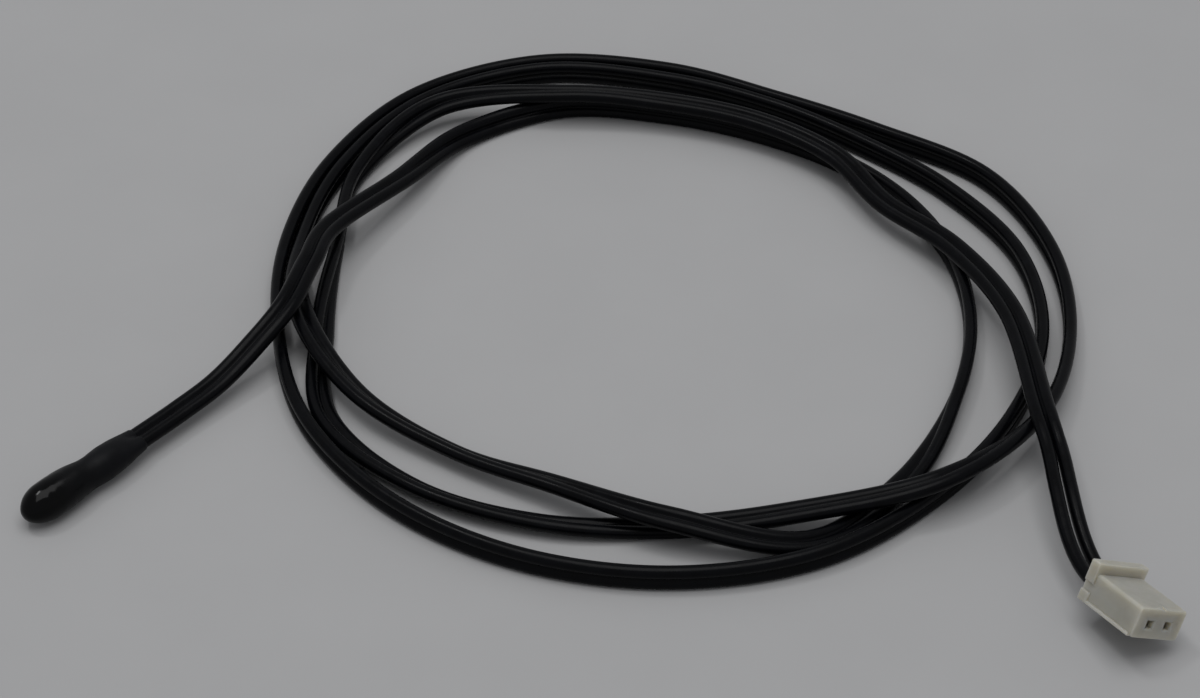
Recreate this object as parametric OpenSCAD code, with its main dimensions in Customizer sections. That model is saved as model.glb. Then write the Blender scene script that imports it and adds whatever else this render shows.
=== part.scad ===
// Temperature sensor probe: a moulded sensing tip, a flat twin-core cable and a two-way connector.
// The tip lies along X with its sensing end towards -X, and everything rests on the plane z = 0.
// All sizes are in millimetres.

/* [Tip moulding] */
// Radius of the round sensing end
bead_r = 2.2; // [2.1:0.05:2.4]
// Length of the rounded end
nose_l = 3.6; // [2.4:0.1:4]
// Length of the straight round stretch behind the rounded end
bead_straight = 2.0; // [1.5:0.1:4]
// Radius at the neck behind the sensing end
neck_r = 1.78; // [1.72:0.01:2]
// Distance from the straight stretch to the neck
neck_run = 3.3; // [2:0.1:4]
// Radius of the collar that grips the cable
collar_r = 1.95; // [1.9:0.05:2.3]
// Distance from the neck to the widest place of the collar
collar_run = 2.7; // [2.5:0.1:4]
// Length of the taper from the collar down to the cable
taper_run = 4.4; // [4:0.1:6]
// Wall of the moulding beside the cable where the taper ends
lip_wall = 0.14; // [0.1:0.01:0.3]

/* [Sensing element] */
// Side of the square thermistor chip
chip_side = 1.1; // [0.8:0.05:1.2]
// Thickness of the thermistor chip
chip_thick = 0.5; // [0.35:0.05:0.6]
// Radius of the coating round the chip
coating_r = 1.3; // [1.2:0.05:1.5]
// Length of the coating's tail along the lead wires
coating_tail = 2.4; // [2:0.1:2.8]
// Radius of the coating where its tail ends
coating_tail_r = 0.75; // [0.65:0.05:0.9]
// Radius of a lead wire
lead_r = 0.13; // [0.1:0.01:0.16]
// Radius of a soldered splice
solder_r = 0.48; // [0.42:0.01:0.5]
// Length of a soldered splice
solder_l = 2.2; // [1.8:0.1:2.4]
// Wall of the insulating sleeve over a splice
sleeve_wall = 0.18; // [0.12:0.01:0.2]
// How far a sleeve reaches past its splice at each end
sleeve_lap = 0.5; // [0.3:0.1:0.6]
// Radial clearance between a sleeve and its splice
sleeve_gap = 0.02; // [0.01:0.01:0.04]

/* [Cable] */
// Diameter of one insulated core
core_d = 1.5; // [1.3:0.05:1.55]
// Thickness of the web that joins the two cores
web_thick = 0.5; // [0.3:0.05:0.8]
// Radius of one strand of a conductor
strand_r = 0.105; // [0.09:0.005:0.11]
// Length of the joined part of the cable inside the tip
joined_inside = 4.4; // [3:0.1:5]
// Length over which the two cores lie apart inside the tip
split_inside = 1.0; // [0.5:0.1:1.5]
// Length of bare conductor inside the tip
bare_inside = 2.2; // [1.8:0.1:2.6]

/* [Connector housing] */
// Distance between the two contacts
pitch = 2.5; // [2.4:0.05:2.8]
// Length of the housing along its mating direction
house_l = 8.4; // [8:0.1:10]
// Width of the housing body
house_w = 6.5; // [6.3:0.1:8]
// Height of the housing body
house_h = 3.4; // [3.2:0.1:4]
// Radius of the long edges of the body
house_round = 0.4; // [0.1:0.05:0.4]
// Thickness of the front wall
front_wall = 0.8; // [0.6:0.1:1]
// Side of the square contact holes in the front wall
hole_side = 0.9; // [0.8:0.05:1.2]
// Depth of the flared lead-in of the contact holes
lead_in = 0.1; // [0.1:0.05:0.4]
// Width of a contact cavity
cavity_w = 2.0; // [2:0.02:2.1]
// Height of a contact cavity
cavity_h = 2.2; // [2.1:0.05:2.3]
// How far the cavities lie below the middle of the body
cavity_drop = 0.15; // [0:0.05:0.2]
// Length of the rear flange along the housing
flange_l = 1.3; // [1:0.1:1.6]
// How far the rear flange stands out at the sides, like the bottom rails
flange_side = 0.3; // [0.2:0.05:0.5]
// How far the finger bar stands above the body
bar_h = 1.15; // [1:0.05:1.6]
// Height of the notch in the side of the rear flange
notch_h = 1.0; // [0.6:0.1:1.4]
// Height of the bottom side rails
rail_h = 0.35; // [0.25:0.05:0.5]
// Width of the keying groove in the front of the top
key_w = 0.4; // [0.4:0.1:0.8]
// Length of the keying groove
key_l = 0.8; // [0.5:0.1:2.4]
// Depth of the keying groove
key_d = 0.15; // [0.1:0.05:0.4]
// Width of a latch window in the bottom
window_w = 1.0; // [0.8:0.1:1.2]
// Length of a latch window
window_l = 1.7; // [1.4:0.1:2]

/* [Contacts] */
// Thickness of the contact sheet
sheet = 0.18; // [0.14:0.01:0.19]
// Width of the spring box
box_w = 1.8; // [1.7:0.02:1.86]
// Height of the spring box
box_h = 1.9; // [1.8:0.05:1.95]
// Length of the spring box
box_l = 3.5; // [3.2:0.1:3.7]
// Gap between the spring box and the front wall
box_gap = 0.15; // [0.05:0.05:0.3]
// Rise of the latch tongue above the box
tongue_rise = 0.45; // [0.3:0.05:0.5]
// Width of the latch tongue
tongue_w = 0.7; // [0.5:0.05:0.75]
// Length of the conductor crimp
wire_crimp_l = 1.0; // [0.8:0.1:1.2]
// Length of the insulation crimp
core_crimp_l = 1.3; // [1:0.1:1.5]
// Distance from the rear of the housing to the insulation crimp
crimp_inset = 0.4; // [0.3:0.1:0.6]
// Radial clearance between the insulation crimp and the core
crimp_gap = 0.03; // [0.01:0.01:0.05]

/* [Hidden] */

$fn = 48;
// A cut runs this far past the face that it opens
cut = 0.5;
// Smallest overlap that joins two solids of one piece
bond = 0.02;
// Overlap of neighbouring strands of a conductor
strand_lap = 0.01;

// The tip, measured along X from its rounded end
tip_l = nose_l + bead_straight + neck_run + collar_run + taper_run;
tip_x = -tip_l / 2;
exit_x = tip_l / 2;
axis_z = bead_r;
straight_x = tip_x + nose_l;
neck_x = straight_x + bead_straight + neck_run;
collar_x = neck_x + collar_run;

// The cable
core_r = core_d / 2;
cable_w = 2 * core_d;
conductor_r = 3 * strand_r - strand_lap;
core_side = core_r;
lip_w = cable_w + 2 * lip_wall;
lip_h = core_d + 2 * lip_wall;

// Where along the taper this share of its change is done
taper_mid = 0.4;
taper_share = 0.25;
// Distance of the chip's middle behind the rounded end
chip_depth = 2.9;
// How deep a lead wire is let into the chip's face and into its splice
lead_bite = 0.05;
lead_tuck = 0.1;

// Places inside the tip
jacket_x = exit_x - joined_inside - split_inside;
bare_end_x = jacket_x - bare_inside;
splice_x0 = bare_end_x - solder_l / 2;
splice_x1 = bare_end_x + solder_l / 2;
sleeve_x0 = splice_x0 - sleeve_lap;
sleeve_x1 = splice_x1 + sleeve_lap;
chip_x = tip_x + chip_depth;
lead_side = chip_thick / 2 + lead_r - lead_bite;

// The connector lies as the cable holds it: its pose, as the place of the middle of its rear face
plug_xy = [58, -92.5];
plug_heading = -110;
plug_roll = 28;
plug_pitch = 12;
flange_w = house_w + 2 * flange_side;
plug_z = (flange_w / 2 * sin(plug_roll) + house_h / 2 * cos(plug_roll)) * cos(plug_pitch);
plug_pos = [plug_xy[0], plug_xy[1], plug_z];

// Depth below the top at which the notch in the cheeks of the rear flange begins
notch_drop = 1.2;
// How far the bottom rails stop short of the front
rail_short = 0.4;
// How far the insulation reaches past its crimp, and the strands past theirs
core_past = 0.2;
strand_past = 0.2;
// Bare strands between the end of the insulation and the conductor crimp
bare_gap = 0.35;
// Width of the strip that carries the crimps
strip_w = 0.9;
// Slit between the wings of the insulation crimp and of the conductor crimp
core_slit = 0.2;
wire_slit = 0.04;
// Seam along the side of the spring box
box_seam = 0.1;
// Distance of the tongue's tip from the rear of its window and of its root from the front
tongue_clear = 0.2;
tongue_root = 0.15;
// Spring leaf: its gap at the sides, thickness, root, crest and tail, from the front of the box
leaf_gap = 0.15;
leaf_t = 0.14;
leaf_root = 0.3;
leaf_crest = 1.5;
leaf_crest_h = 0.8;
leaf_foot = 2.6;
leaf_end = 3.0;
leaf_lift = 0.1;

// Places inside the connector, from the middle of its rear face
cavity_z = -cavity_drop;
box_x1 = house_l - front_wall - box_gap;
box_x0 = box_x1 - box_l;
core_crimp_x1 = crimp_inset + core_crimp_l;
core_end_x = core_crimp_x1 + core_past;
wire_crimp_x0 = core_end_x + bare_gap;
wire_crimp_x1 = wire_crimp_x0 + wire_crimp_l;
wire_end_x = wire_crimp_x1 + strand_past;
window_x = box_x0 + bond;

// Route of the cable: x, y, height and lean, where lean is 0 with the cable on edge and 90 flat
LEAD_OUT = [
    [14, 0, 2.2, 90], [20, 0, 2.6, 90], [26, 0.3, 4.1, 90], [32, 1.1, 5.7, 90], [38.8, 4.4, 6, 90]
];
// The coil is given at equal steps round its middle: radius, height and lean
coil_mid = [66, -27];
coil_start = 120;
coil_step = 20;
COIL = [
    [40.3, 5.3, 90], [37.5, 3.2, 85], [39.4, 1.5, 45], [38.7, 1.55, 10], [35.2, 1.5, 0],
    [33.4, 1.5, 0], [33.2, 1.5, 0], [33.7, 1.5, 0], [34.4, 1.5, 0], [35.3, 1.5, 0],
    [36.9, 1.55, 15], [40.1, 0.9, 80], [43.5, 1.4, 95], [40, 3.8, 95], [35.9, 2.6, 70],
    [36.5, 1.8, 50], [39.8, 2.8, 60], [42.5, 3.8, 70], [44.2, 1.7, 0], [46.2, 1.5, 0],
    [48.1, 1.5, 0], [46.7, 1.5, 0], [42, 1.5, 0], [38.9, 1.5, 0], [37.8, 1.5, 0],
    [39.5, 1.5, 0], [42.3, 1.5, 0], [43.5, 1.5, 0], [43.6, 1.5, 0], [44.3, 1.5, 0],
    [45.9, 1.5, 0], [46.4, 1.5, 0], [46.6, 1.5, 0], [46.6, 1.5, 0], [46.3, 1.5, 0],
    [45.4, 1.5, 0], [46.1, 1.5, 0], [47.9, 1.5, 0], [49.8, 1.5, 0], [48.5, 1.5, 0],
    [44.2, 1.5, 0], [40.6, 1.5, 0], [41, 1.5, 0], [45.1, 1.5, 0], [46.3, 1.5, 0],
    [46.6, 1.7, 0], [46.6, 3.2, 30], [44.8, 4.4, 75], [39.6, 2.2, 85], [38.4, 0.9, 88],
    [40.6, 1.2, 60], [42.9, 1.25, 50], [43.8, 1.05, 70], [40.3, 1.3, 50], [40, 1.5, 0],
    [44, 1.6, 0], [44.8, 3.1, 60], [37.9, 4.2, 95], [34.4, 3.9, 90], [32.6, 3.9, 90],
    [31.6, 3.6, 90], [30.1, 3.2, 90], [34.1, 3.9, 90], [39.6, 4.8, 90], [46.9, 5.5, 90]
];
PLUG_LEAD = [[69.8, -78, 4.8, 97]];
// The cable parts into its two cores here
split_point = [66.4, -81.3, 4.3, 104];
// Steps of the curve along which each core runs from the parting to the connector
core_steps = 4;

function coil_point(i) = let (a = coil_start - coil_step * i, c = COIL[i])
    [coil_mid[0] + c[0] * cos(a), coil_mid[1] + c[0] * sin(a), c[1], c[2]];

ROUTE = concat(
    [[exit_x, 0, axis_z, 90]],
    LEAD_OUT,
    [for (i = [0:len(COIL) - 1]) coil_point(i)],
    PLUG_LEAD,
    [split_point]
);

function place(p) = [p[0], p[1], p[2]];
function unit(v) = v / norm(v);
function direction(path, i) =
    i == 0 ? [1, 0, 0] : unit(place(path[min(i + 1, len(path) - 1)]) - place(path[i - 1]));
// The cable's wide side, square to the route and leaning from upright towards the left of travel
function wide_side(t, lean) =
    let (left = unit(cross([0, 0, 1], t)), rise = cross(t, left))
    rise * cos(lean) + left * sin(lean);

// Outline with eight sides, bevelled like the cable's rounded edges
function flat_outline(w, h) = let (r = h / 2, k = r * tan(22.5)) [
    [w / 2, -k], [w / 2, k], [w / 2 - r + k, r], [k + r - w / 2, r],
    [-w / 2, k], [-w / 2, -k], [k + r - w / 2, -r], [w / 2 - r + k, -r]
];
function round_outline(r) = [for (a = [22.5:45:359]) [r * cos(a), r * sin(a)]];
function ring(centre, t, wide, outline) =
    let (thin = cross(t, wide)) [for (p = outline) centre + wide * p[0] + thin * p[1]];

// A tube through rings that all have eight points
module tube(rings) {
    sides = 8;
    last = len(rings) - 1;
    skin = [for (i = [0:last - 1], j = [0:sides - 1])
        let (a = i * sides + j, b = i * sides + (j + 1) % sides)
        for (f = [[a, a + sides, b], [b, a + sides, b + sides]]) f];
    polyhedron(
        points = [for (r = rings) each r],
        faces = concat(
            [[for (j = [0:sides - 1]) j]],
            skin,
            [[for (j = [sides - 1:-1:0]) last * sides + j]]
        )
    );
}

// Turning of a point from the connector's own frame to the model's
function turn_x(a, p) = [p[0], p[1] * cos(a) - p[2] * sin(a), p[1] * sin(a) + p[2] * cos(a)];
function turn_y(a, p) = [p[0] * cos(a) + p[2] * sin(a), p[1], p[2] * cos(a) - p[0] * sin(a)];
function turn_z(a, p) = [p[0] * cos(a) - p[1] * sin(a), p[0] * sin(a) + p[1] * cos(a), p[2]];
function plug_turn(p) = turn_z(plug_heading, turn_y(-plug_pitch, turn_x(-plug_roll, p)));
module in_plug() translate(plug_pos) rotate([-plug_roll, -plug_pitch, plug_heading]) children();

// A solid of revolution or an extrusion along X
module along_x() rotate([0, 90, 0]) children();
module bar_x(x0, x1, r) translate([x0, 0, 0]) along_x() cylinder(r = r, h = x1 - x0);
module block(x0, x1, y0, y1, z0, z1) translate([x0, y0, z0]) cube([x1 - x0, y1 - y0, z1 - z0]);
// An outline drawn in Y and Z, extruded along X
module section_x(x0, x1) translate([x0, 0, 0]) rotate([90, 0, 90]) linear_extrude(x1 - x0) children();
// An outline drawn in X and Z, extruded along Y about the middle
module profile_y(w) translate([0, w / 2, 0]) rotate([90, 0, 0]) linear_extrude(w) children();

// Half width of a smooth swell from r0 to r1 as t goes from 0 to 1
function swell(r0, r1, t) = r0 + (r1 - r0) * (1 - cos(180 * t)) / 2;

// Everything in the tip is drawn about its axis and lifted to its height
module on_axis() translate([0, 0, axis_z]) children();

module stadium(w, h) {
    for (s = [-1, 1]) translate([s * (w - h) / 2, 0]) circle(d = h);
    square([w - h, h], center = true);
}

// Quarter ellipse of length l, from the axis at x out to its full radius r
function round_end(r, l, x, steps) = [
    for (i = [0:steps]) let (a = 90 * i / steps) [r * sin(a), x + l - l * cos(a)]
];

module tip_outer() {
    steps = 10;
    along_x() rotate_extrude() polygon(concat(
        round_end(bead_r, nose_l, tip_x, steps),
        [for (i = [0:steps])
            [swell(bead_r, neck_r, i / steps), straight_x + bead_straight + neck_run * i / steps]],
        [for (i = [1:steps])
            [swell(neck_r, collar_r, i / steps), neck_x + collar_run * i / steps]],
        [[0, collar_x]]
    ));
    taper();
}

// The collar blends from round to the flat shape of the cable, slowly at first
module taper() {
    d = 2 * (collar_r - bond);
    stations = [
        [0, d, d],
        [taper_mid, d + (lip_w - d) * taper_share, d + (lip_h - d) * taper_share],
        [1, lip_w, lip_h]
    ];
    hull() for (s = stations)
        translate([collar_x + s[0] * taper_run, 0, 0]) section_x(-2 * bond, -bond) stadium(s[1], s[2] - bond);
    section_x(exit_x - 2 * bond, exit_x) stadium(lip_w - bond, lip_h - 2 * bond);
}

module tip_overmould() color("#17181b") on_axis() difference() {
    tip_outer();
    coating_outer();
    for (s = [-1, 1]) {
        lead_shape(s);
        sleeve_shape(s);
        conductor_space(s, bare_end_x);
    }
    jacket_shape(cut);
}

module chip_shape() translate([chip_x, 0, 0]) cube([chip_side, chip_thick, chip_side], center = true);
module thermistor_chip() color("#4b4f52") on_axis() chip_shape();

// A drop that thins out along the lead wires
module coating_outer() along_x() rotate_extrude() polygon(concat(
    round_end(coating_r, coating_r, chip_x - coating_r, 8),
    [[coating_tail_r, chip_x + coating_tail], [0, chip_x + coating_tail]]
));

module bead_coating() color("#2a2118") on_axis() difference() {
    coating_outer();
    chip_shape();
    for (s = [-1, 1]) lead_shape(s);
}

module rod(p, q, r) {
    v = q - p;
    translate(p) rotate([0, acos(v[2] / norm(v)), atan2(v[1], v[0])]) cylinder(r = r, h = norm(v));
}

// A lead wire runs from the side of the chip out to its splice
module lead_shape(s) rod(
    [chip_x - chip_side / 2, s * lead_side, 0],
    [bare_end_x - lead_tuck, s * core_side, 0],
    lead_r
);

module lead_wire(s) color("#b9bcc0") on_axis() difference() {
    lead_shape(s);
    chip_shape();
}
module lead_wire_a() lead_wire(1);
module lead_wire_b() lead_wire(-1);

// Space that a conductor needs from x0 to where the cable leaves the tip
module conductor_space(s, x0) translate([0, s * core_side, 0]) bar_x(x0, exit_x + cut, conductor_r);

module conductor_section() {
    circle(r = strand_r);
    for (a = [0:60:300]) rotate(a) translate([2 * strand_r - strand_lap, 0]) circle(r = strand_r);
}

module tip_conductor(s) color("#c07a4a") on_axis() translate([0, s * core_side, 0])
    section_x(bare_end_x, exit_x) conductor_section();
module tip_conductor_a() tip_conductor(1);
module tip_conductor_b() tip_conductor(-1);

module solder_joint(s) color("#c9ccd0") on_axis() difference() {
    translate([0, s * core_side, 0]) along_x() rotate_extrude() polygon([
        [0, splice_x0], [solder_r / 2, splice_x0], [solder_r, splice_x0 + solder_r],
        [solder_r, splice_x1 - solder_r], [solder_r / 2, splice_x1], [0, splice_x1]
    ]);
    lead_shape(s);
    conductor_space(s, bare_end_x);
}
module solder_joint_a() solder_joint(1);
module solder_joint_b() solder_joint(-1);

module sleeve_shape(s) translate([0, s * core_side, 0])
    bar_x(sleeve_x0, sleeve_x1, solder_r + sleeve_gap + sleeve_wall);

module splice_sleeve(s) color("#e6e2d6") on_axis() difference() {
    sleeve_shape(s);
    translate([0, s * core_side, 0]) bar_x(sleeve_x0 - cut, sleeve_x1 + cut, solder_r + sleeve_gap);
}
module splice_sleeve_a() splice_sleeve(1);
module splice_sleeve_b() splice_sleeve(-1);

// Both insulated cores inside the tip, joined by the web up to the parting
module jacket_shape(past) {
    for (s = [-1, 1]) translate([0, s * core_side, 0]) bar_x(jacket_x, exit_x + past, core_r - bond / 2);
    block(exit_x - joined_inside, exit_x + past, -core_side, core_side, -web_thick / 2, web_thick / 2);
}

module cable_end() color("#1b1c1f") on_axis() difference() {
    jacket_shape(0);
    for (s = [-1, 1]) conductor_space(s, jacket_x - cut);
}

module cable() color("#1b1c1f") tube([
    for (i = [0:len(ROUTE) - 1])
        let (t = direction(ROUTE, i))
        ring(place(ROUTE[i]), t, wide_side(t, ROUTE[i][3]), flat_outline(cable_w, core_d))
]);

// A core leaves the cable's end face and bends into its cavity
module core(s) {
    n = len(ROUTE) - 1;
    t0 = direction(ROUTE, n);
    wide0 = wide_side(t0, ROUTE[n][3]);
    start = place(ROUTE[n]) + wide0 * s * core_side;
    mouth = plug_pos + plug_turn([0, s * pitch / 2, cavity_z]);
    inner = plug_pos + plug_turn([core_end_x, s * pitch / 2, cavity_z]);
    t1 = plug_turn([1, 0, 0]);
    wide1 = plug_turn([0, 1, 0]);
    reach = norm(mouth - start) / 3;
    ctrl = [start, start + t0 * reach, mouth - t1 * reach, mouth];
    function at(u) = ctrl[0] * pow(1 - u, 3) + ctrl[1] * 3 * u * pow(1 - u, 2)
        + ctrl[2] * 3 * u * u * (1 - u) + ctrl[3] * pow(u, 3);
    function heading(u) = unit((ctrl[1] - ctrl[0]) * pow(1 - u, 2)
        + (ctrl[2] - ctrl[1]) * 2 * u * (1 - u)
        + (ctrl[3] - ctrl[2]) * u * u);
    function square_to(t, w) = unit(w - t * (w * t));
    tube(concat(
        [for (i = [0:core_steps])
            let (u = i / core_steps, t = heading(u))
            ring(at(u), t, square_to(t, wide0 * (1 - u) + wide1 * u), round_outline(core_r))],
        [ring(inner, t1, wide1, round_outline(core_r))]
    ));
}
module core_a() color("#1b1c1f") core(1);
module core_b() color("#1b1c1f") core(-1);

module in_cavity(s) in_plug() translate([0, s * pitch / 2, cavity_z]) children();

module plug_conductor(s) color("#c07a4a") in_cavity(s) section_x(core_end_x, wire_end_x) conductor_section();
module plug_conductor_a() plug_conductor(1);
module plug_conductor_b() plug_conductor(-1);

// One folded sheet: spring box, latch tongue, conductor crimp and insulation crimp. It is drawn with
// its tongue up and turned over, because the windows are in the bottom of the housing.
module contact(s) color("#c8a66a") in_cavity(s) rotate([180, 0, 0]) {
    floor_z = -box_h / 2;
    spring_box(floor_z);
    tongue();
    neck(floor_z);
    section_x(wire_crimp_x0, wire_crimp_x1) wire_crimp();
    section_x(crimp_inset, core_crimp_x1) core_crimp();
}
module contact_a() contact(1);
module contact_b() contact(-1);

module spring_box(floor_z) {
    side = box_w / 2 - sheet;
    difference() {
        block(box_x0, box_x1, -box_w / 2, box_w / 2, floor_z, -floor_z);
        block(box_x0 - cut, box_x1 + cut, -side, side, floor_z + sheet, -floor_z - sheet);
        block(box_x0 - cut, box_x1 + cut, side - box_seam, side, 0, -floor_z + cut);
    }
    // The spring leaf is folded in from the front of the floor and bows up to the mating post
    low = floor_z + sheet;
    profile_y(2 * (side - leaf_gap)) polygon([
        [box_x1 - bond, low - bond], [box_x1 - leaf_root, low - bond],
        [box_x1 - leaf_crest, low + leaf_crest_h - leaf_t], [box_x1 - leaf_foot, low + leaf_lift],
        [box_x1 - leaf_end, low + leaf_lift], [box_x1 - leaf_end, low + leaf_lift + leaf_t],
        [box_x1 - leaf_foot, low + leaf_lift + leaf_t], [box_x1 - leaf_crest, low + leaf_crest_h],
        [box_x1 - leaf_root, low + leaf_t], [box_x1 - bond, low + leaf_t]
    ]);
}

// The tongue is cut from the roof and stands up into the latch window
module tongue() {
    roof = box_h / 2;
    tip = window_x + tongue_clear;
    root = window_x + window_l - tongue_root;
    profile_y(tongue_w) polygon([
        [root, roof - bond], [root, roof + bond], [tip, roof + tongue_rise],
        [tip, roof + tongue_rise - sheet], [root - 2 * sheet, roof - bond]
    ]);
}

// Floor strips that carry the crimps behind the box
module neck(floor_z) {
    wire_z = -conductor_r - bond;
    core_z = -core_r - crimp_gap - bond;
    profile_y(strip_w) polygon([
        [box_x0 + bond, floor_z + bond / 2], [box_x0 + bond, floor_z + sheet - bond / 2],
        [wire_crimp_x1 - bond, wire_z], [wire_crimp_x1 - bond, wire_z - sheet]
    ]);
    profile_y(strip_w) polygon([
        [wire_crimp_x0 + bond, wire_z - sheet], [wire_crimp_x0 + bond, wire_z], [core_end_x, core_z],
        [core_crimp_x1 - bond, core_z], [core_crimp_x1 - bond, core_z - sheet], [core_end_x, core_z - sheet]
    ]);
}

// Two wings rolled in over the strands until they meet
module wire_crimp() {
    wing = conductor_r + sheet;
    difference() {
        union() {
            for (s = [-1, 1]) translate([s * sheet, 0]) circle(r = wing - bond);
            translate([-strip_w / 2, -wing]) square([strip_w, wing]);
        }
        circle(r = conductor_r);
        translate([-wire_slit / 2, 0]) square([wire_slit, 2 * wing]);
    }
}

// Two wings wrapped round the insulation, with a narrow gap on top
module core_crimp() difference() {
    circle(r = core_r + crimp_gap + sheet);
    circle(r = core_r + crimp_gap);
    translate([-core_slit / 2, 0]) square([core_slit, core_d]);
}

module connector_housing() color("#e4e3d8") in_plug() difference() {
    union() {
        section_x(0, house_l) body_section();
        rear_flange();
        bottom_rails();
    }
    for (s = [-1, 1]) translate([0, s * pitch / 2, cavity_z]) {
        block(-cut, house_l - front_wall, -cavity_w / 2, cavity_w / 2, -cavity_h / 2, cavity_h / 2);
        block(house_l - front_wall - cut, house_l + cut,
            -hole_side / 2, hole_side / 2, -hole_side / 2, hole_side / 2);
        flare();
        block(window_x, window_x + window_l, -window_w / 2, window_w / 2, -house_h, 0);
    }
    block(house_l - key_l, house_l + cut, -key_w / 2, key_w / 2, house_h / 2 - key_d, house_h);
}

module body_section() {
    r = house_round;
    square([house_w - 2 * r, house_h], center = true);
    square([house_w, house_h - 2 * r], center = true);
    for (y = [-1, 1], z = [-1, 1]) translate([y * (house_w / 2 - r), z * (house_h / 2 - r)]) circle(r = r);
}

// Flared mouth of a contact hole, where the front wall meets the mating post
module flare() {
    wide = hole_side / 2 + lead_in;
    narrow = hole_side / 2;
    mouth = [
        [house_l - lead_in, -narrow], [house_l + bond, -wide - bond],
        [house_l + bond, wide + bond], [house_l - lead_in, narrow]
    ];
    intersection() {
        translate([0, 0, -wide - cut]) linear_extrude(2 * wide + 2 * cut) polygon(mouth);
        profile_y(2 * wide + 2 * cut) polygon(mouth);
    }
}

// Finger bar across the top and two cheeks on each side with a notch between them
module rear_flange() {
    top = house_h / 2 + bar_h;
    notch_z = house_h / 2 - notch_drop;
    block(0, flange_l, -flange_w / 2, flange_w / 2, house_h / 2 - house_round, top);
    for (s = [-1, 1]) {
        y0 = s > 0 ? house_w / 2 - house_round : -flange_w / 2;
        y1 = s > 0 ? flange_w / 2 : house_round - house_w / 2;
        block(0, flange_l, y0, y1, notch_z, house_h / 2);
        block(0, flange_l, y0, y1, -house_h / 2, notch_z - notch_h);
    }
}

module bottom_rails() block(flange_l - bond, house_l - rail_short, -flange_w / 2, flange_w / 2,
    -house_h / 2, rail_h - house_h / 2);

tip_overmould();
thermistor_chip();
bead_coating();
lead_wire_a();
lead_wire_b();
solder_joint_a();
solder_joint_b();
splice_sleeve_a();
splice_sleeve_b();
cable_end();
tip_conductor_a();
tip_conductor_b();
cable();
core_a();
core_b();
plug_conductor_a();
plug_conductor_b();
contact_a();
contact_b();
connector_housing();
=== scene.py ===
"""Looks of the temperature sensor probe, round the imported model.

Lengths are in millimetres here, and MM turns them into Blender's metres.
"""
import math

import bmesh
import bpy
from mathutils import Matrix, Vector, noise


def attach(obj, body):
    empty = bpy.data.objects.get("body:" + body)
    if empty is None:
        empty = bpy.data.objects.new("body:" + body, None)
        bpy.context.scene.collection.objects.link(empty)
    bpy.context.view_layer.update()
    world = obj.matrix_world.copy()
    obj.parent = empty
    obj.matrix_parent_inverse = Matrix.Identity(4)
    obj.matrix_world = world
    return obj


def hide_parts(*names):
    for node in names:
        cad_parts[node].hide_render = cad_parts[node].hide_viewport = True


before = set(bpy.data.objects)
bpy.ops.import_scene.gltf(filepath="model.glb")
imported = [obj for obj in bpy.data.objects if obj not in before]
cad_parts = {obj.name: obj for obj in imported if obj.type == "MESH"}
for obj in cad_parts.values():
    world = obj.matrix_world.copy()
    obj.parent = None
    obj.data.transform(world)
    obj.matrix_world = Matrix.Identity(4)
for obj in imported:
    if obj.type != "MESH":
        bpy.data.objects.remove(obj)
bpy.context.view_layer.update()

MM = 0.001
UP = Vector((0, 0, 1))
# A shorter length than this counts as none
NEAR = 0.01

# The camera, from the photograph's point of view
IMAGE_W = 1200
FOCAL_PX = 2700
SENSOR = 36
EYE = Vector((-122.1, -180.1, 203.3))
AIM = Vector((54.4, -26.6, 0))
CLIP_METRES = (0.01, 20)

# The cable's sizes and its route, which part.scad gives too. A point is x, y, z and the cable's lean
# in degrees: 0 where it stands on its edge, 90 where it lies flat.
CORE_D = 1.5
CORE_R = CORE_D / 2
WEB = 0.5
PITCH = 2.5
EXIT = Vector((8, 0, 2.2))
EXIT_LEAN = 90
LEAD_OUT = [
    (14, 0, 2.2, 90), (20, 0, 2.6, 90), (26, 0.3, 4.1, 90), (32, 1.1, 5.7, 90), (38.8, 4.4, 6, 90),
]
# The coil's points are COIL_STEP degrees apart, each a distance from its middle, z and lean
COIL_MID = (66, -27)
COIL_START = 120
COIL_STEP = 20
COIL = [
    (40.3, 5.3, 90), (37.5, 3.2, 85), (39.4, 1.5, 45), (38.7, 1.55, 10), (35.2, 1.5, 0),
    (33.4, 1.5, 0), (33.2, 1.5, 0), (33.7, 1.5, 0), (34.4, 1.5, 0), (35.3, 1.5, 0),
    (36.9, 1.55, 15), (40.1, 0.9, 80), (43.5, 1.4, 95), (40, 3.8, 95), (35.9, 2.6, 70),
    (36.5, 1.8, 50), (39.8, 2.8, 60), (42.5, 3.8, 70), (44.2, 1.7, 0), (46.2, 1.5, 0),
    (48.1, 1.5, 0), (46.7, 1.5, 0), (42, 1.5, 0), (38.9, 1.5, 0), (37.8, 1.5, 0),
    (39.5, 1.5, 0), (42.3, 1.5, 0), (43.5, 1.5, 0), (43.6, 1.5, 0), (44.3, 1.5, 0),
    (45.9, 1.5, 0), (46.4, 1.5, 0), (46.6, 1.5, 0), (46.6, 1.5, 0), (46.3, 1.5, 0),
    (45.4, 1.5, 0), (46.1, 1.5, 0), (47.9, 1.5, 0), (49.8, 1.5, 0), (48.5, 1.5, 0),
    (44.2, 1.5, 0), (40.6, 1.5, 0), (41, 1.5, 0), (45.1, 1.5, 0), (46.3, 1.5, 0),
    (46.6, 1.7, 0), (46.6, 3.2, 30), (44.8, 4.4, 75), (39.6, 2.2, 85), (38.4, 0.9, 88),
    (40.6, 1.2, 60), (42.9, 1.25, 50), (43.8, 1.05, 70), (40.3, 1.3, 50), (40, 1.5, 0),
    (44, 1.6, 0), (44.8, 3.1, 60), (37.9, 4.2, 95), (34.4, 3.9, 90), (32.6, 3.9, 90),
    (31.6, 3.6, 90), (30.1, 3.2, 90), (34.1, 3.9, 90), (39.6, 4.8, 90), (46.9, 5.5, 90),
]
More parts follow.
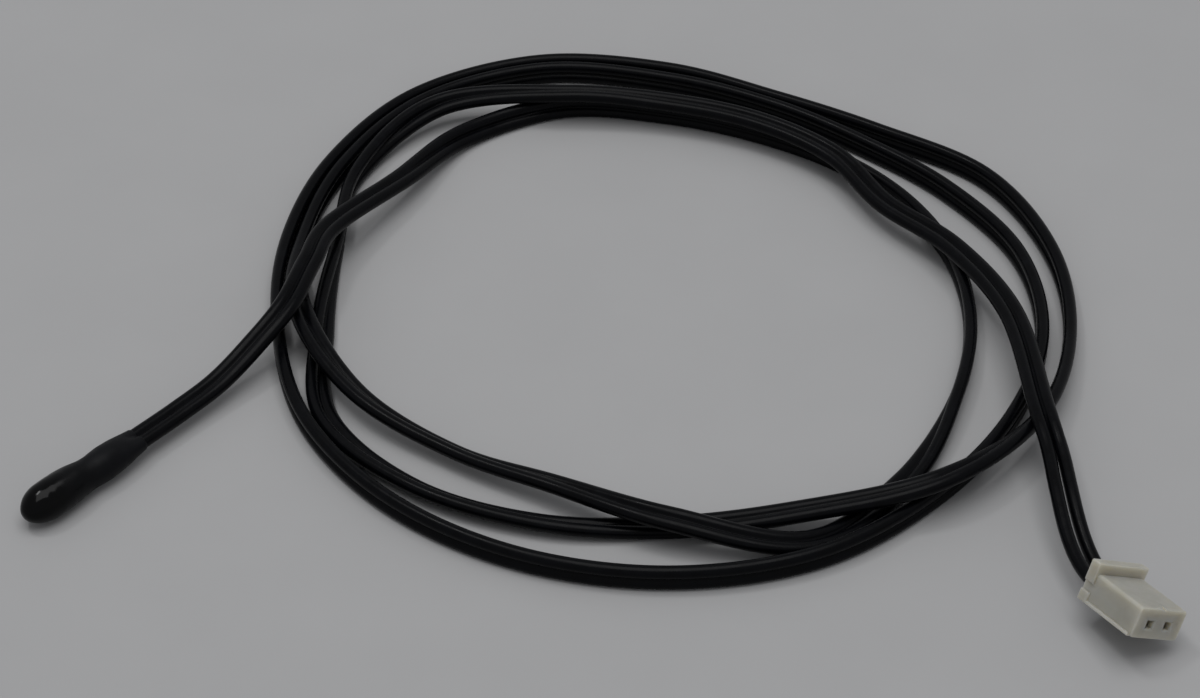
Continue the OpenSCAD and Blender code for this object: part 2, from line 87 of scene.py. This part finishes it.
PLUG_LEAD = [(69.8, -78, 4.8, 97)]
SPLIT = (66.4, -81.3, 4.3, 104)

# Steps between two points of the route and round a core's arc, and steps and sides of a parted core
ROUTE_STEPS = 14
ARC_STEPS = 15
CORE_STEPS = 24
CORE_SIDES = 24

# The web is torn through over TORN_RUN before the parting, where the cores are TORN_GAP apart.
# The joined cable reaches TORN_OVERLAP into that run, and ahead of it the web thins over THIN_RUN
# to THIN_SHARE of its thickness.
TORN_RUN = 6.5
TORN_GAP = 0.3
TORN_OVERLAP = 0.5
TORN_SIDES = 32
THIN_RUN = 3
THIN_SHARE = 0.1

# The connector's pose: the place of the middle of its rear face, and its turns
PLUG_XY = (58, -92.5)
PLUG_TURNS = (-28, -12, -110)
FLANGE_W = 7.1
HOUSE_L = 8.4
HOUSE_H = 3.4
CAVITY_Z = -0.15
CORE_END_X = 1.9
roll, tip_up, heading = (math.radians(a) for a in PLUG_TURNS)
# It rests on its lowest corner
PLUG_Z = (FLANGE_W / 2 * math.sin(-roll) + HOUSE_H / 2 * math.cos(roll)) * math.cos(tip_up)
PLUG = (
    Matrix.Translation((PLUG_XY[0], PLUG_XY[1], PLUG_Z))
    @ Matrix.Rotation(heading, 4, "Z") @ Matrix.Rotation(tip_up, 4, "Y") @ Matrix.Rotation(roll, 4, "X")
)

# The rounding of the housing's outer edges, where faces meet at more than EDGE_ANGLE degrees.
# Under FLAT_ANGLE they are one flat face, and over CREASE_ANGLE they shade with a crease.
EDGE_ROUND = 0.15
EDGE_STEPS = 4
WELD = 0.002
FLAT_ANGLE = 0.5
EDGE_ANGLE = 60
CREASE_ANGLE = 33
# A corner less than FRONT_DEPTH behind the front face is on it, and one less than CORNER_WIDTH
# inside the flange's width is then on a side of that face
FRONT_DEPTH = 0.1
CORNER_WIDTH = 0.75

# The moulded tip, in rows of x, half width, half height and how far its middle drifts sideways
TIP_STATIONS = [
    (-8.0, 0.0, 0.0, 0.1), (-7.93, 0.46, 0.46, 0.1), (-7.7, 0.9, 0.9, 0.1),
    (-7.32, 1.29, 1.29, 0.11), (-6.8, 1.64, 1.65, 0.12), (-6.1, 1.94, 1.95, 0.12),
    (-5.3, 2.13, 2.14, 0.12), (-4.4, 2.19, 2.19, 0.11), (-3.4, 2.19, 2.19, 0.1),
    (-2.4, 2.15, 2.16, 0.09), (-1.2, 2.02, 2.06, 0.06), (-0.2, 1.86, 1.92, 0.01),
    (0.6, 1.78, 1.83, -0.05), (1.4, 1.8, 1.82, -0.09), (2.3, 1.9, 1.86, -0.1),
    (3.2, 1.95, 1.87, -0.09), (4.2, 1.91, 1.74, -0.07), (5.2, 1.84, 1.55, -0.04),
    (6.3, 1.77, 1.3, -0.01), (7.2, 1.7, 1.09, 0.0), (7.7, 1.64, 0.97, 0.0), (8.0, 1.6, 0.92, 0.0),
]
TIP_HALF = 8
TIP_SIDES = 96
NOSE_Y = 0.08
# Its three runs, from the round end to the lip on the cable, and the rings that each is drawn with
NOSE_RUN, NOSE_RINGS = 2.2, 14
BODY_RINGS = 90
LIP_RUN, LIP_RINGS = 0.2, 6
# The section turns flat over FLAT_RUN, and takes on GROOVE_SHARE of the cable's grooves over GROOVE_RUN
FLAT_START, FLAT_RUN = 3.4, 3.8
FLAT_POWER = 0.5
GROOVE_START, GROOVE_RUN = 5.6, 2.4
GROOVE_SHARE = 0.8
# The web shows only at the very top and bottom, where the sine is over this
WEB_SINE = 0.9
# The lip stands this far off the cable, and its rounded end turns in this far
LIP_STANDS = 0.13
LIP_TURN = 0.1
# The moulding's unevenness, as pairs of noise scale and height, fades out over the last stretch
LUMPS = ((0.45, 0.05), (1.3, 0.015))
LUMP_FADE = 1.5
# Along X it is polished and black up to POLISH_END and matte from DULL_START on; past POLISH_END its colour
# greys into a painted sheen, full at the last of these three
POLISH_END = -4.5
DULL_START = 0.5
PAINTED_SHEEN_FULL = 2.5

# The floor, the room's light and the lamps, each a name, place, size and power in watts
FLOOR_HALF = 1500
ROOM_COLOUR = (0.97, 0.98, 1.0)
ROOM_STRENGTH = 0.38
LAMP_AIM = Vector((50, -30, 0))
LAMPS = [
    ("ceiling", Vector((-35, 350, 850)), (170, 110), 0.8),
    ("overhead", Vector((20, -80, 900)), (700, 700), 3.6),
]


def clamp(value, low=0.0, high=1.0):
    return max(low, min(high, value))


def add_object(name, data):
    obj = bpy.data.objects.new(name, data)
    bpy.context.scene.collection.objects.link(obj)
    return obj


def facing(start, end):
    """Turns of a camera or lamp that stands at start and points at end."""
    return (end - start).to_track_quat("-Z", "Y").to_euler()


def add_camera():
    data = bpy.data.cameras.new("camera")
    data.sensor_width = SENSOR
    data.lens = SENSOR * FOCAL_PX / IMAGE_W
    data.clip_start, data.clip_end = CLIP_METRES
    cam = add_object("camera", data)
    cam.location = EYE * MM
    cam.rotation_euler = facing(EYE, AIM)
    bpy.context.scene.camera = cam


add_camera()


def new_piece(name, verts, faces, material):
    """A piece with its finish, from corners in millimetres."""
    mesh = bpy.data.meshes.new(name)
    mesh.from_pydata([v * MM for v in verts], [], faces)
    mesh.validate()
    mesh.shade_smooth()
    obj = add_object(name, mesh)
    mesh.materials.append(material)
    return obj


def skin(rings, close_start=True):
    """Vertices and faces of a tube through rings of one size.

    The flat ends have corners of their own, so they shade flat.
    """
    n = len(rings[0])
    verts = [v for r in rings for v in r]
    faces = []
    for i in range(len(rings) - 1):
        for j in range(n):
            k = (j + 1) % n
            faces.append((i * n + j, i * n + k, (i + 1) * n + k, (i + 1) * n + j))
    if close_start:
        faces.append(tuple(len(verts) + j for j in reversed(range(n))))
        verts += rings[0]
    faces.append(tuple(len(verts) + j for j in range(n)))
    verts += rings[-1]
    return verts, faces


class Nodes:
    """A material's nodes, made with short calls."""

    def __init__(self, name):
        self.mat = bpy.data.materials.new(name)
        self.mat.use_nodes = True
        self.tree = self.mat.node_tree
        self.bsdf = self.tree.nodes["Principled BSDF"]

    def add(self, kind, **values):
        node = self.tree.nodes.new(kind)
        for key, value in values.items():
            setattr(node, key, value)
        return node

    def link(self, out, into):
        self.tree.links.new(out, into)

    def link_shader(self, out, socket):
        self.link(out, self.bsdf.inputs[socket])

    def coords(self):
        return self.add("ShaderNodeTexCoord").outputs["Object"]

    def noise(self, scale, detail=3.0, rough=0.55, stretch=None):
        """Noise with about scale spots to the metre."""
        tex = self.add("ShaderNodeTexNoise")
        tex.inputs["Scale"].default_value = scale
        tex.inputs["Detail"].default_value = detail
        tex.inputs["Roughness"].default_value = rough
        source = self.coords()
        if stretch:
            scaled = self.add("ShaderNodeMapping")
            scaled.inputs["Scale"].default_value = stretch
            self.link(source, scaled.inputs["Vector"])
            source = scaled.outputs["Vector"]
        self.link(source, tex.inputs["Vector"])
        return tex.outputs["Fac"]

    def ramp(self, fac, *stops):
        """Colours at the stops, each a pair of position and colour."""
        node = self.add("ShaderNodeValToRGB")
        ramp = node.color_ramp
        while len(ramp.elements) < len(stops):
            ramp.elements.new(0.5)
        for element, (position, colour) in zip(ramp.elements, stops):
            element.position = position
            element.color = (*colour, 1)
        self.link(fac, node.inputs["Fac"])
        return node.outputs["Color"]

    def range(self, fac, low, high, from_low=0.3, from_high=0.7):
        """Goes from low to high while fac goes from from_low to from_high."""
        node = self.add("ShaderNodeMapRange")
        node.inputs["From Min"].default_value = from_low
        node.inputs["From Max"].default_value = from_high
        node.inputs["To Min"].default_value = low
        node.inputs["To Max"].default_value = high
        self.link(fac, node.inputs["Value"])
        return node.outputs["Result"]

    def mix(self, fac, first, second):
        node = self.add("ShaderNodeMix", data_type="RGBA")
        # The colour sockets of a Mix node share their names with those of the other types
        factor, colour_a, colour_b, result = 0, 6, 7, 2
        for out, index in ((fac, factor), (first, colour_a), (second, colour_b)):
            self.link(out, node.inputs[index])
        return node.outputs[result]

    def times(self, first, second):
        node = self.add("ShaderNodeMath", operation="MULTIPLY")
        self.link(first, node.inputs[0])
        self.link(second, node.inputs[1])
        return node.outputs["Value"]

    def bump(self, *layers):
        """Layers of (height, strength, distance in millimetres), one over another."""
        below = None
        for height, strength, distance in layers:
            node = self.add("ShaderNodeBump")
            node.inputs["Strength"].default_value = strength
            node.inputs["Distance"].default_value = distance * MM
            self.link(height, node.inputs["Height"])
            if below:
                self.link(below, node.inputs["Normal"])
            below = node.outputs["Normal"]
        self.link_shader(below, "Normal")

    def set(self, values):
        for socket, value in values.items():
            self.bsdf.inputs[socket].default_value = value


def black_insulation():
    m = Nodes("cable_insulation")
    wear = m.ramp(
        m.noise(420, 5, 0.6),
        (0.35, (0.0009, 0.0010, 0.0015)), (0.62, (0.0016, 0.0018, 0.0027)), (0.8, (0.0036, 0.0039, 0.0052)),
    )
    m.link_shader(wear, "Base Color")
    m.link_shader(m.range(m.noise(900, 4), 0.22, 0.36), "Roughness")
    m.bump((m.noise(1500, 3), 0.12, 0.02), (m.noise(260, 2), 0.2, 0.05))
    m.set({"Specular IOR Level": 0.09})
    return m.mat


def tip_moulding():
    """Polished and black at the sensing end and matte towards the cable, where a painted sheen greys its
    colour.
    """
    m = Nodes("tip_moulding")
    place = m.add("ShaderNodeSeparateXYZ")
    m.link(m.coords(), place.inputs["Vector"])
    along = place.outputs["X"]
    black = m.ramp(m.noise(300, 4), (0.35, (0.0006, 0.0006, 0.0007)), (0.65, (0.0011, 0.0011, 0.0013)))
    # Painted sheen: a lighter grey, mixed in along X towards the cable, stands for the sheen of its matte
    # surface
    sheen_grey = m.ramp(m.noise(340, 4), (0.35, (0.0022, 0.0024, 0.0033)), (0.65, (0.0040, 0.0043, 0.0057)))
    sheen_share = m.range(along, 0, 1, POLISH_END * MM, PAINTED_SHEEN_FULL * MM)
    m.link_shader(m.mix(sheen_share, black, sheen_grey), "Base Color")
    rough = m.range(along, 0.12, 0.46, POLISH_END * MM, DULL_START * MM)
    m.link_shader(m.times(rough, m.range(m.noise(700, 4), 0.85, 1.2)), "Roughness")
    m.bump((m.noise(1100, 3), 0.22, 0.02), (m.noise(240, 2), 0.35, 0.08))
    m.set({"Specular IOR Level": 0.12})
    return m.mat


def nylon():
    m = Nodes("housing_nylon")
    tone = m.ramp(m.noise(450, 4), (0.3, (0.329, 0.320, 0.277)), (0.7, (0.376, 0.368, 0.332)))
    m.link_shader(tone, "Base Color")
    m.link_shader(m.range(m.noise(800, 3), 0.34, 0.52), "Roughness")
    m.bump((m.noise(2200, 3), 0.2, 0.015), (m.noise(350, 2), 0.15, 0.05))
    m.set({"Subsurface Weight": 1.0, "Subsurface Radius": (1.0, 0.88, 0.66), "Subsurface Scale": 4 * MM})
    return m.mat


def metal(name, low, high, rough, scratch=1600, stretch=(1, 6, 1)):
    m = Nodes(name)
    m.link_shader(m.ramp(m.noise(700, 4), (0.3, low), (0.7, high)), "Base Color")
    m.link_shader(m.range(m.noise(scratch, 3, 0.6, stretch), rough, rough + 0.16), "Roughness")
    m.bump((m.noise(scratch, 2, 0.5, stretch), 0.15, 0.01))
    m.set({"Metallic": 1.0})
    return m.mat


def plain(name, low, high, rough, scale=600):
    m = Nodes(name)
    m.link_shader(m.ramp(m.noise(scale, 4), (0.3, low), (0.7, high)), "Base Color")
    m.link_shader(m.range(m.noise(scale * 2, 3), rough - 0.06, rough + 0.08), "Roughness")
    m.bump((m.noise(scale * 3, 3), 0.2, 0.015))
    return m.mat


def floor_finish():
    m = Nodes("floor")
    tone = m.ramp(m.noise(60, 3), (0.3, (0.390, 0.390, 0.394)), (0.7, (0.400, 0.400, 0.404)))
    m.link_shader(tone, "Base Color")
    m.set({"Roughness": 0.75, "Specular IOR Level": 0.2})
    return m.mat


INSULATION = black_insulation()
TIP = tip_moulding()
NYLON = nylon()
CONTACT = metal("contact_sheet", (0.58, 0.44, 0.26), (0.74, 0.60, 0.40), 0.26)
COPPER = metal("conductor", (0.62, 0.30, 0.17), (0.80, 0.47, 0.30), 0.28)
LEAD = metal("lead_wire", (0.58, 0.58, 0.60), (0.74, 0.74, 0.75), 0.25)
SOLDER = metal("solder", (0.60, 0.60, 0.62), (0.76, 0.76, 0.78), 0.18, 500, None)
SLEEVE = plain("sleeve", (0.72, 0.69, 0.60), (0.83, 0.81, 0.74), 0.42)
COATING = plain("coating", (0.045, 0.026, 0.015), (0.08, 0.05, 0.03), 0.2)
CHIP = plain("chip_ceramic", (0.14, 0.15, 0.16), (0.25, 0.26, 0.27), 0.55, 1500)


# The cable
def coil_point(i):
    a = math.radians(COIL_START - COIL_STEP * i)
    r, z, lean = COIL[i]
    return (COIL_MID[0] + r * math.cos(a), COIL_MID[1] + r * math.sin(a), z, lean)


ROUTE = [(*EXIT, EXIT_LEAN)] + LEAD_OUT + [coil_point(i) for i in range(len(COIL))] + PLUG_LEAD + [SPLIT]


def smooth_route():
    """Points, directions and leans on one smooth curve through the route."""
    p = [Vector(q) for q in ROUTE]
    # The curve leaves the tip along X and goes on straight past its last point
    first = p[1].copy()
    first.x -= 2 * (p[1].x - p[0].x)
    p = [first] + p + [2 * p[-1] - p[-2]]
    out = []
    for i in range(1, len(p) - 2):
        a, b, c, d = p[i - 1:i + 3]
        square = 2 * a - 5 * b + 4 * c - d
        cube = 3 * b - a - 3 * c + d
        is_last = i == len(p) - 3
        for k in range(ROUTE_STEPS + is_last):
            t = k / ROUTE_STEPS
            q = 0.5 * (2 * b + (c - a) * t + square * t * t + cube * t ** 3)
            v = 0.5 * ((c - a) + 2 * square * t + 3 * cube * t * t)
            out.append((q.xyz, v.xyz.normalized(), math.radians(q[3])))
    return out


LINE = smooth_route()


def wide_side(t, lean):
    """The way that the cable's width points, where it runs along t."""
    left = UP.cross(t).normalized()
    return t.cross(left) * math.cos(lean) + left * math.sin(lean)


def circle(middle, side, other, radius, sides):
    angles = (2 * math.pi * k / sides for k in range(sides))
    return [middle + side * radius * math.cos(a) + other * radius * math.sin(a) for a in angles]


def twin_outline(web):
    """Outline of both cores and a web of this thickness, as (wide, thin) pairs."""
    open_a = math.asin(web / CORE_D)
    half = []
    for k in range(ARC_STEPS + 1):
        a = math.pi - open_a - (2 * math.pi - 2 * open_a) * k / ARC_STEPS
        half.append((CORE_R + CORE_R * math.cos(a), CORE_R * math.sin(a)))
    return half + [(-w, -t) for w, t in half]


def cable_piece():
    joined, torn = [], {1: [], -1: []}
    for q, t, lean in LINE:
        wide = wide_side(t, lean)
        thin = t.cross(wide)
        left = (LINE[-1][0] - q).length
        if left > TORN_RUN - TORN_OVERLAP:
            outline = twin_outline(WEB * clamp((left - TORN_RUN) / THIN_RUN, THIN_SHARE))
            ring = [q + wide * w + thin * h for w, h in outline]
            # Where the smooth curve would dip into the floor, the cable lies on it
            dip = min(0.0, min(v.z for v in ring))
            joined.append([v - UP * dip for v in ring])
        if left < TORN_RUN:
            for s, rings in torn.items():
                middle = q + wide * s * (CORE_R + TORN_GAP / 2 * (1 - left / TORN_RUN))
                rings.append(circle(middle, wide, -thin, CORE_R, TORN_SIDES))
    verts, faces = [], []
    for rings in (joined, torn[1], torn[-1]):
        part_verts, part_faces = skin(rings)
        faces += [tuple(len(verts) + k for k in reversed(f)) for f in part_faces]
        verts += part_verts
    return new_piece("cable_jacket", verts, faces, INSULATION)


def core_line(s):
    """The bend of a core from the parting into the middle of its cavity."""
    q, t0, lean = LINE[-1]
    start = q + wide_side(t0, lean) * s * (CORE_R + TORN_GAP / 2)
    mouth = PLUG @ Vector((0, s * PITCH / 2, CAVITY_Z))
    inner = PLUG @ Vector((CORE_END_X, s * PITCH / 2, CAVITY_Z))
    t1 = PLUG.to_3x3() @ Vector((1, 0, 0))
    reach = (mouth - start).length / 3
    a, b, c, d = start, start + t0 * reach, mouth - t1 * reach, mouth
    points = []
    for k in range(CORE_STEPS + 1):
        u = k / CORE_STEPS
        points.append(a * (1 - u) ** 3 + b * 3 * u * (1 - u) ** 2 + c * 3 * u * u * (1 - u) + d * u ** 3)
    return points + [inner]


def core_piece(name, s):
    """A parted core, on the connector's Y side for s = 1 and on the other for -1."""
    points = core_line(s)
    rings = []
    side = UP
    for i, p in enumerate(points):
        t = (points[min(i + 1, len(points) - 1)] - points[max(i - 1, 0)]).normalized()
        side = (side - t * side.dot(t)).normalized()
        rings.append(circle(p, side, t.cross(side), CORE_R, CORE_SIDES))
    verts, faces = skin(rings)
    return new_piece(name, verts, faces, INSULATION)


def housing_piece():
    """The housing of the CAD model, with its outer edges rounded as a moulding's are."""
    bm = bmesh.new()
    bm.from_mesh(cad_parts["connector_housing"].data)
    bmesh.ops.remove_doubles(bm, verts=bm.verts, dist=WELD * MM)
    bmesh.ops.dissolve_limit(bm, angle_limit=math.radians(FLAT_ANGLE), verts=bm.verts, edges=bm.edges)
    into_plug = PLUG.inverted()

    def is_outer(v):
        """Whether a corner is on an outermost side, or on the front face's top or sides."""
        x, y, z = into_plug @ (v.co / MM)
        if abs(y) > FLANGE_W / 2 - NEAR:
            return True
        at_edge = abs(y) > FLANGE_W / 2 - CORNER_WIDTH or z > HOUSE_H / 2 - NEAR
        return x > HOUSE_L - FRONT_DEPTH and at_edge

    sharp = math.radians(EDGE_ANGLE)
    edges = [
        e for e in bm.edges
        if e.is_convex and e.calc_face_angle() > sharp and all(is_outer(v) for v in e.verts)
    ]
    bmesh.ops.bevel(
        bm, geom=edges, offset=EDGE_ROUND * MM, segments=EDGE_STEPS, profile=0.5, affect="EDGES",
        clamp_overlap=True,
    )
    bm.verts.index_update()
    verts = [v.co / MM for v in bm.verts]
    faces = [[v.index for v in f.verts] for f in bm.faces]
    bm.free()
    obj = new_piece("housing_moulding", verts, faces, NYLON)
    obj.data.set_sharp_from_angle(angle=math.radians(CREASE_ANGLE))
    obj.modifiers.new("normals", "WEIGHTED_NORMAL").keep_sharp = True
    return obj


cable = cable_piece()
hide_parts("cable")
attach(cable, "root")

for suffix, s in (("a", 1), ("b", -1)):
    core = core_piece("core_insulation_" + suffix, s)
    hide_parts("core_" + suffix)
    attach(core, "root")

housing = housing_piece()
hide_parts("connector_housing")
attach(housing, "root")


# The moulded tip
def between(table, x):
    """Smooth values between the table's rows, at x."""
    i = max(k for k in range(len(table) - 1) if table[k][0] <= x or k == 0)
    a, b = table[i], table[i + 1]
    before, after = table[max(i - 1, 0)], table[min(i + 2, len(table) - 1)]
    run = b[0] - a[0]
    t = (x - a[0]) / run
    out = []
    for c in range(1, len(a)):
        rise_a = rise_b = b[c] - a[c]
        if before is not a:
            rise_a = (b[c] - before[c]) / (b[0] - before[0]) * run
        if after is not b:
            rise_b = (after[c] - a[c]) / (after[0] - a[0]) * run
        out.append(
            (2 * t ** 3 - 3 * t * t + 1) * a[c] + (t ** 3 - 2 * t * t + t) * rise_a
            + (3 * t * t - 2 * t ** 3) * b[c] + (t ** 3 - t * t) * rise_b
        )
    return out


def tip_places():
    """Where the tip's rings lie along X, closer together towards its two ends."""
    quarter = math.pi / 2
    body_start, lip_start = NOSE_RUN - TIP_HALF, TIP_HALF - LIP_RUN
    nose = [NOSE_RUN * (1 - math.cos(quarter * k / NOSE_RINGS)) - TIP_HALF for k in range(1, NOSE_RINGS + 1)]
    body = [body_start + (lip_start - body_start) * k / BODY_RINGS for k in range(1, BODY_RINGS + 1)]
    lip = [lip_start + LIP_RUN * math.sin(quarter * k / LIP_RINGS) for k in range(1, LIP_RINGS + 1)]
    return nose + body + lip


def tip_ring(x):
    """The tip's outline at x, which starts from a rounded box and ends nearly as the cable's."""
    wide, high, drift = between(TIP_STATIONS, x)
    # A round section turns into the cable's flat one along the taper
    flat = clamp((x - FLAT_START) / FLAT_RUN)
    power = 2 + FLAT_POWER * flat * flat
    grooved = GROOVE_SHARE * clamp((x - GROOVE_START) / GROOVE_RUN) ** 2
    turned_in = LIP_TURN * (1 - math.sqrt(clamp((TIP_HALF - x) / LIP_RUN)))
    fade = min(1.0, (TIP_HALF - x) / LUMP_FADE)
    ring = []
    for j in range(TIP_SIDES):
        a = 2 * math.pi * j / TIP_SIDES
        c, s = math.cos(a), math.sin(a)
        y = wide * math.copysign(abs(c) ** (2 / power), c) + drift
        z = high * math.copysign(abs(s) ** (2 / power), s)
        # Its last stretch takes on the outline of the two cores and their web
        a = math.atan2(z, y - drift)
        web = WEB / 2 if abs(math.sin(a)) > WEB_SINE else 0
        twin = max(CORE_D * abs(math.cos(a)), web) + LIP_STANDS
        reach = math.hypot(y - drift, z) * (1 - grooved) + twin * grooved - turned_in
        y = reach * math.cos(a) + drift
        z = reach * math.sin(a)
        p = Vector((x, y, z))
        lump = sum(noise.noise(p * scale) * height for scale, height in LUMPS)
        out = Vector((0, y - drift, z))
        if out.length > NEAR:
            p += out.normalized() * (lump * fade)
        # It lies on the floor, flattened where it would reach below it
        p.z = max(p.z + EXIT.z, 0.0)
        ring.append(p)
    return ring


def tip_piece():
    verts, faces = skin([tip_ring(x) for x in tip_places()], close_start=False)
    nose = len(verts)
    verts.append(Vector((-TIP_HALF, NOSE_Y, EXIT.z)))
    faces += [(nose, (j + 1) % TIP_SIDES, j) for j in range(TIP_SIDES)]
    return new_piece("tip_skin", verts, faces, TIP)


tip = tip_piece()
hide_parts("tip_overmould")
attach(tip, "root")

# The CAD nodes that keep their shape, each with its finish
FINISH = {
    "contact_a": CONTACT, "contact_b": CONTACT,
    "plug_conductor_a": COPPER, "plug_conductor_b": COPPER,
    "tip_conductor_a": COPPER, "tip_conductor_b": COPPER,
    "lead_wire_a": LEAD, "lead_wire_b": LEAD,
    "solder_joint_a": SOLDER, "solder_joint_b": SOLDER,
    "splice_sleeve_a": SLEEVE, "splice_sleeve_b": SLEEVE,
    "bead_coating": COATING, "thermistor_chip": CHIP,
    "cable_end": INSULATION,
}
for name, material in FINISH.items():
    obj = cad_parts[name]
    obj.data.materials.clear()
    obj.data.materials.append(material)
    for slot in obj.material_slots:
        slot.material = material


# Floor, lamps and world
def add_floor():
    corners = [(x * FLOOR_HALF, y * FLOOR_HALF, 0) for x, y in ((-1, -1), (1, -1), (1, 1), (-1, 1))]
    mesh = bpy.data.meshes.new("floor")
    mesh.from_pydata([Vector(c) * MM for c in corners], [], [(0, 1, 2, 3)])
    mesh.materials.append(floor_finish())
    add_object("floor", mesh)


def add_lamp(name, place, size, power):
    data = bpy.data.lights.new(name, "AREA")
    data.shape = "RECTANGLE"
    data.size, data.size_y = (v * MM for v in size)
    data.energy = power
    obj = add_object(name, data)
    obj.location = place * MM
    obj.rotation_euler = facing(place, LAMP_AIM)


def add_world():
    world = bpy.data.worlds.new("room")
    world.use_nodes = True
    background = world.node_tree.nodes["Background"]
    background.inputs["Color"].default_value = (*ROOM_COLOUR, 1)
    background.inputs["Strength"].default_value = ROOM_STRENGTH
    bpy.context.scene.world = world


add_floor()
for lamp in LAMPS:
    add_lamp(*lamp)
add_world()
bpy.context.scene.view_settings.view_transform = "Standard"
